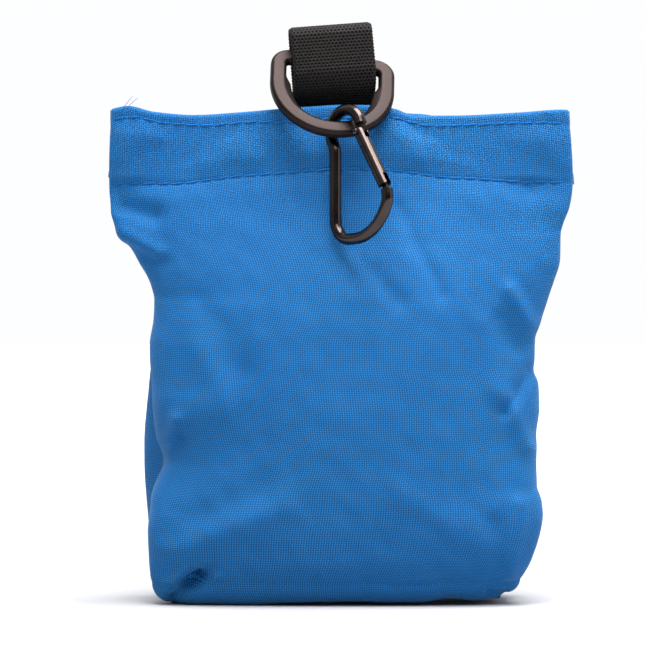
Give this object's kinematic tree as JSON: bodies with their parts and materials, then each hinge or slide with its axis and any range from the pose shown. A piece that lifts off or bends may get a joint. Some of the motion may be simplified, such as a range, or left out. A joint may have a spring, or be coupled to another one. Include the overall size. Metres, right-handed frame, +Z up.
{
  "type": "treat pouch",
  "caption": "Small woven fabric treat pouch with a hemmed magnetic mouth, boxed base, and a webbing loop that holds a D-ring and a mini carabiner.",
  "frame": {"origin": "middle of the base's underside, where the pouch stands", "axes": "+Z up, -Y towards the front, where the D-ring and the carabiner hang, +X to the right seen from the front"},
  "size_m": [0.1409, 0.0611, 0.1764],
  "materials": {
    "cloth": "woven polyester, plain weave, soft sheen",
    "thread": "polyester sewing thread",
    "binding": "woven binding tape",
    "webbing": "heavy polypropylene webbing",
    "magnet": "nickel plated",
    "ring": "fine satin grain",
    "gunmetal": "glossy gunmetal anodise",
    "steel": "bright drawn wire"
  },
  "bodies": {
    "pouch": {"front_panel": "cloth", "base_panel": "cloth", "front_rim_stitching": "thread", "front_hem_stitching": "thread", "front_magnet_left": "magnet", "front_magnet_right": "magnet", "left_seam_binding": "binding", "right_seam_binding": "binding", "left_seam_stitching": "thread", "right_seam_stitching": "thread", "left_corner_seam": "binding", "right_corner_seam": "binding", "webbing_loop": "webbing", "webbing_tack_stitching": "webbing"},
    "back": {"back_panel": "cloth", "back_rim_stitching": "thread", "back_hem_stitching": "thread", "back_magnet_left": "magnet", "back_magnet_right": "magnet"},
    "ring": {"d_ring": "ring"},
    "carabiner": {"carabiner_body": "gunmetal", "gate_rivet": "gunmetal"},
    "gate": {"carabiner_gate": "gunmetal", "gate_plunger": "steel", "gate_spring": "steel"}
  },
  "joints": [
    {"name": "mouth_open", "type": "hinge", "parent": "pouch", "child": "back", "pos_m": [0, 0.0195, 0.0015], "axis": [-1, 0, 0], "range_deg": [0, 11], "stiffness_Nm_per_rad": 0.02, "springref_deg": -20.05},
    {"name": "ring_swing", "type": "hinge", "parent": "pouch", "child": "ring", "pos_m": [-0.0028, -0.0025, 0.1639], "axis": [-0.9881, -0.1039, 0.1132], "range_deg": [0, 115]},
    {"name": "carabiner_swing", "type": "hinge", "parent": "ring", "child": "carabiner", "pos_m": [0.00112, -0.01803, 0.14322], "axis": [-0.9566, -0.271, -0.1068], "range_deg": [0, 110]},
    {"name": "gate_open", "type": "hinge", "parent": "carabiner", "child": "gate", "pos_m": [0.0054, -0.02245, 0.14235], "axis": [0.7071, 0.7018, -0.0862], "range_deg": [0, 28], "stiffness_Nm_per_rad": 0.02, "springref_deg": -22.92}
  ]
}
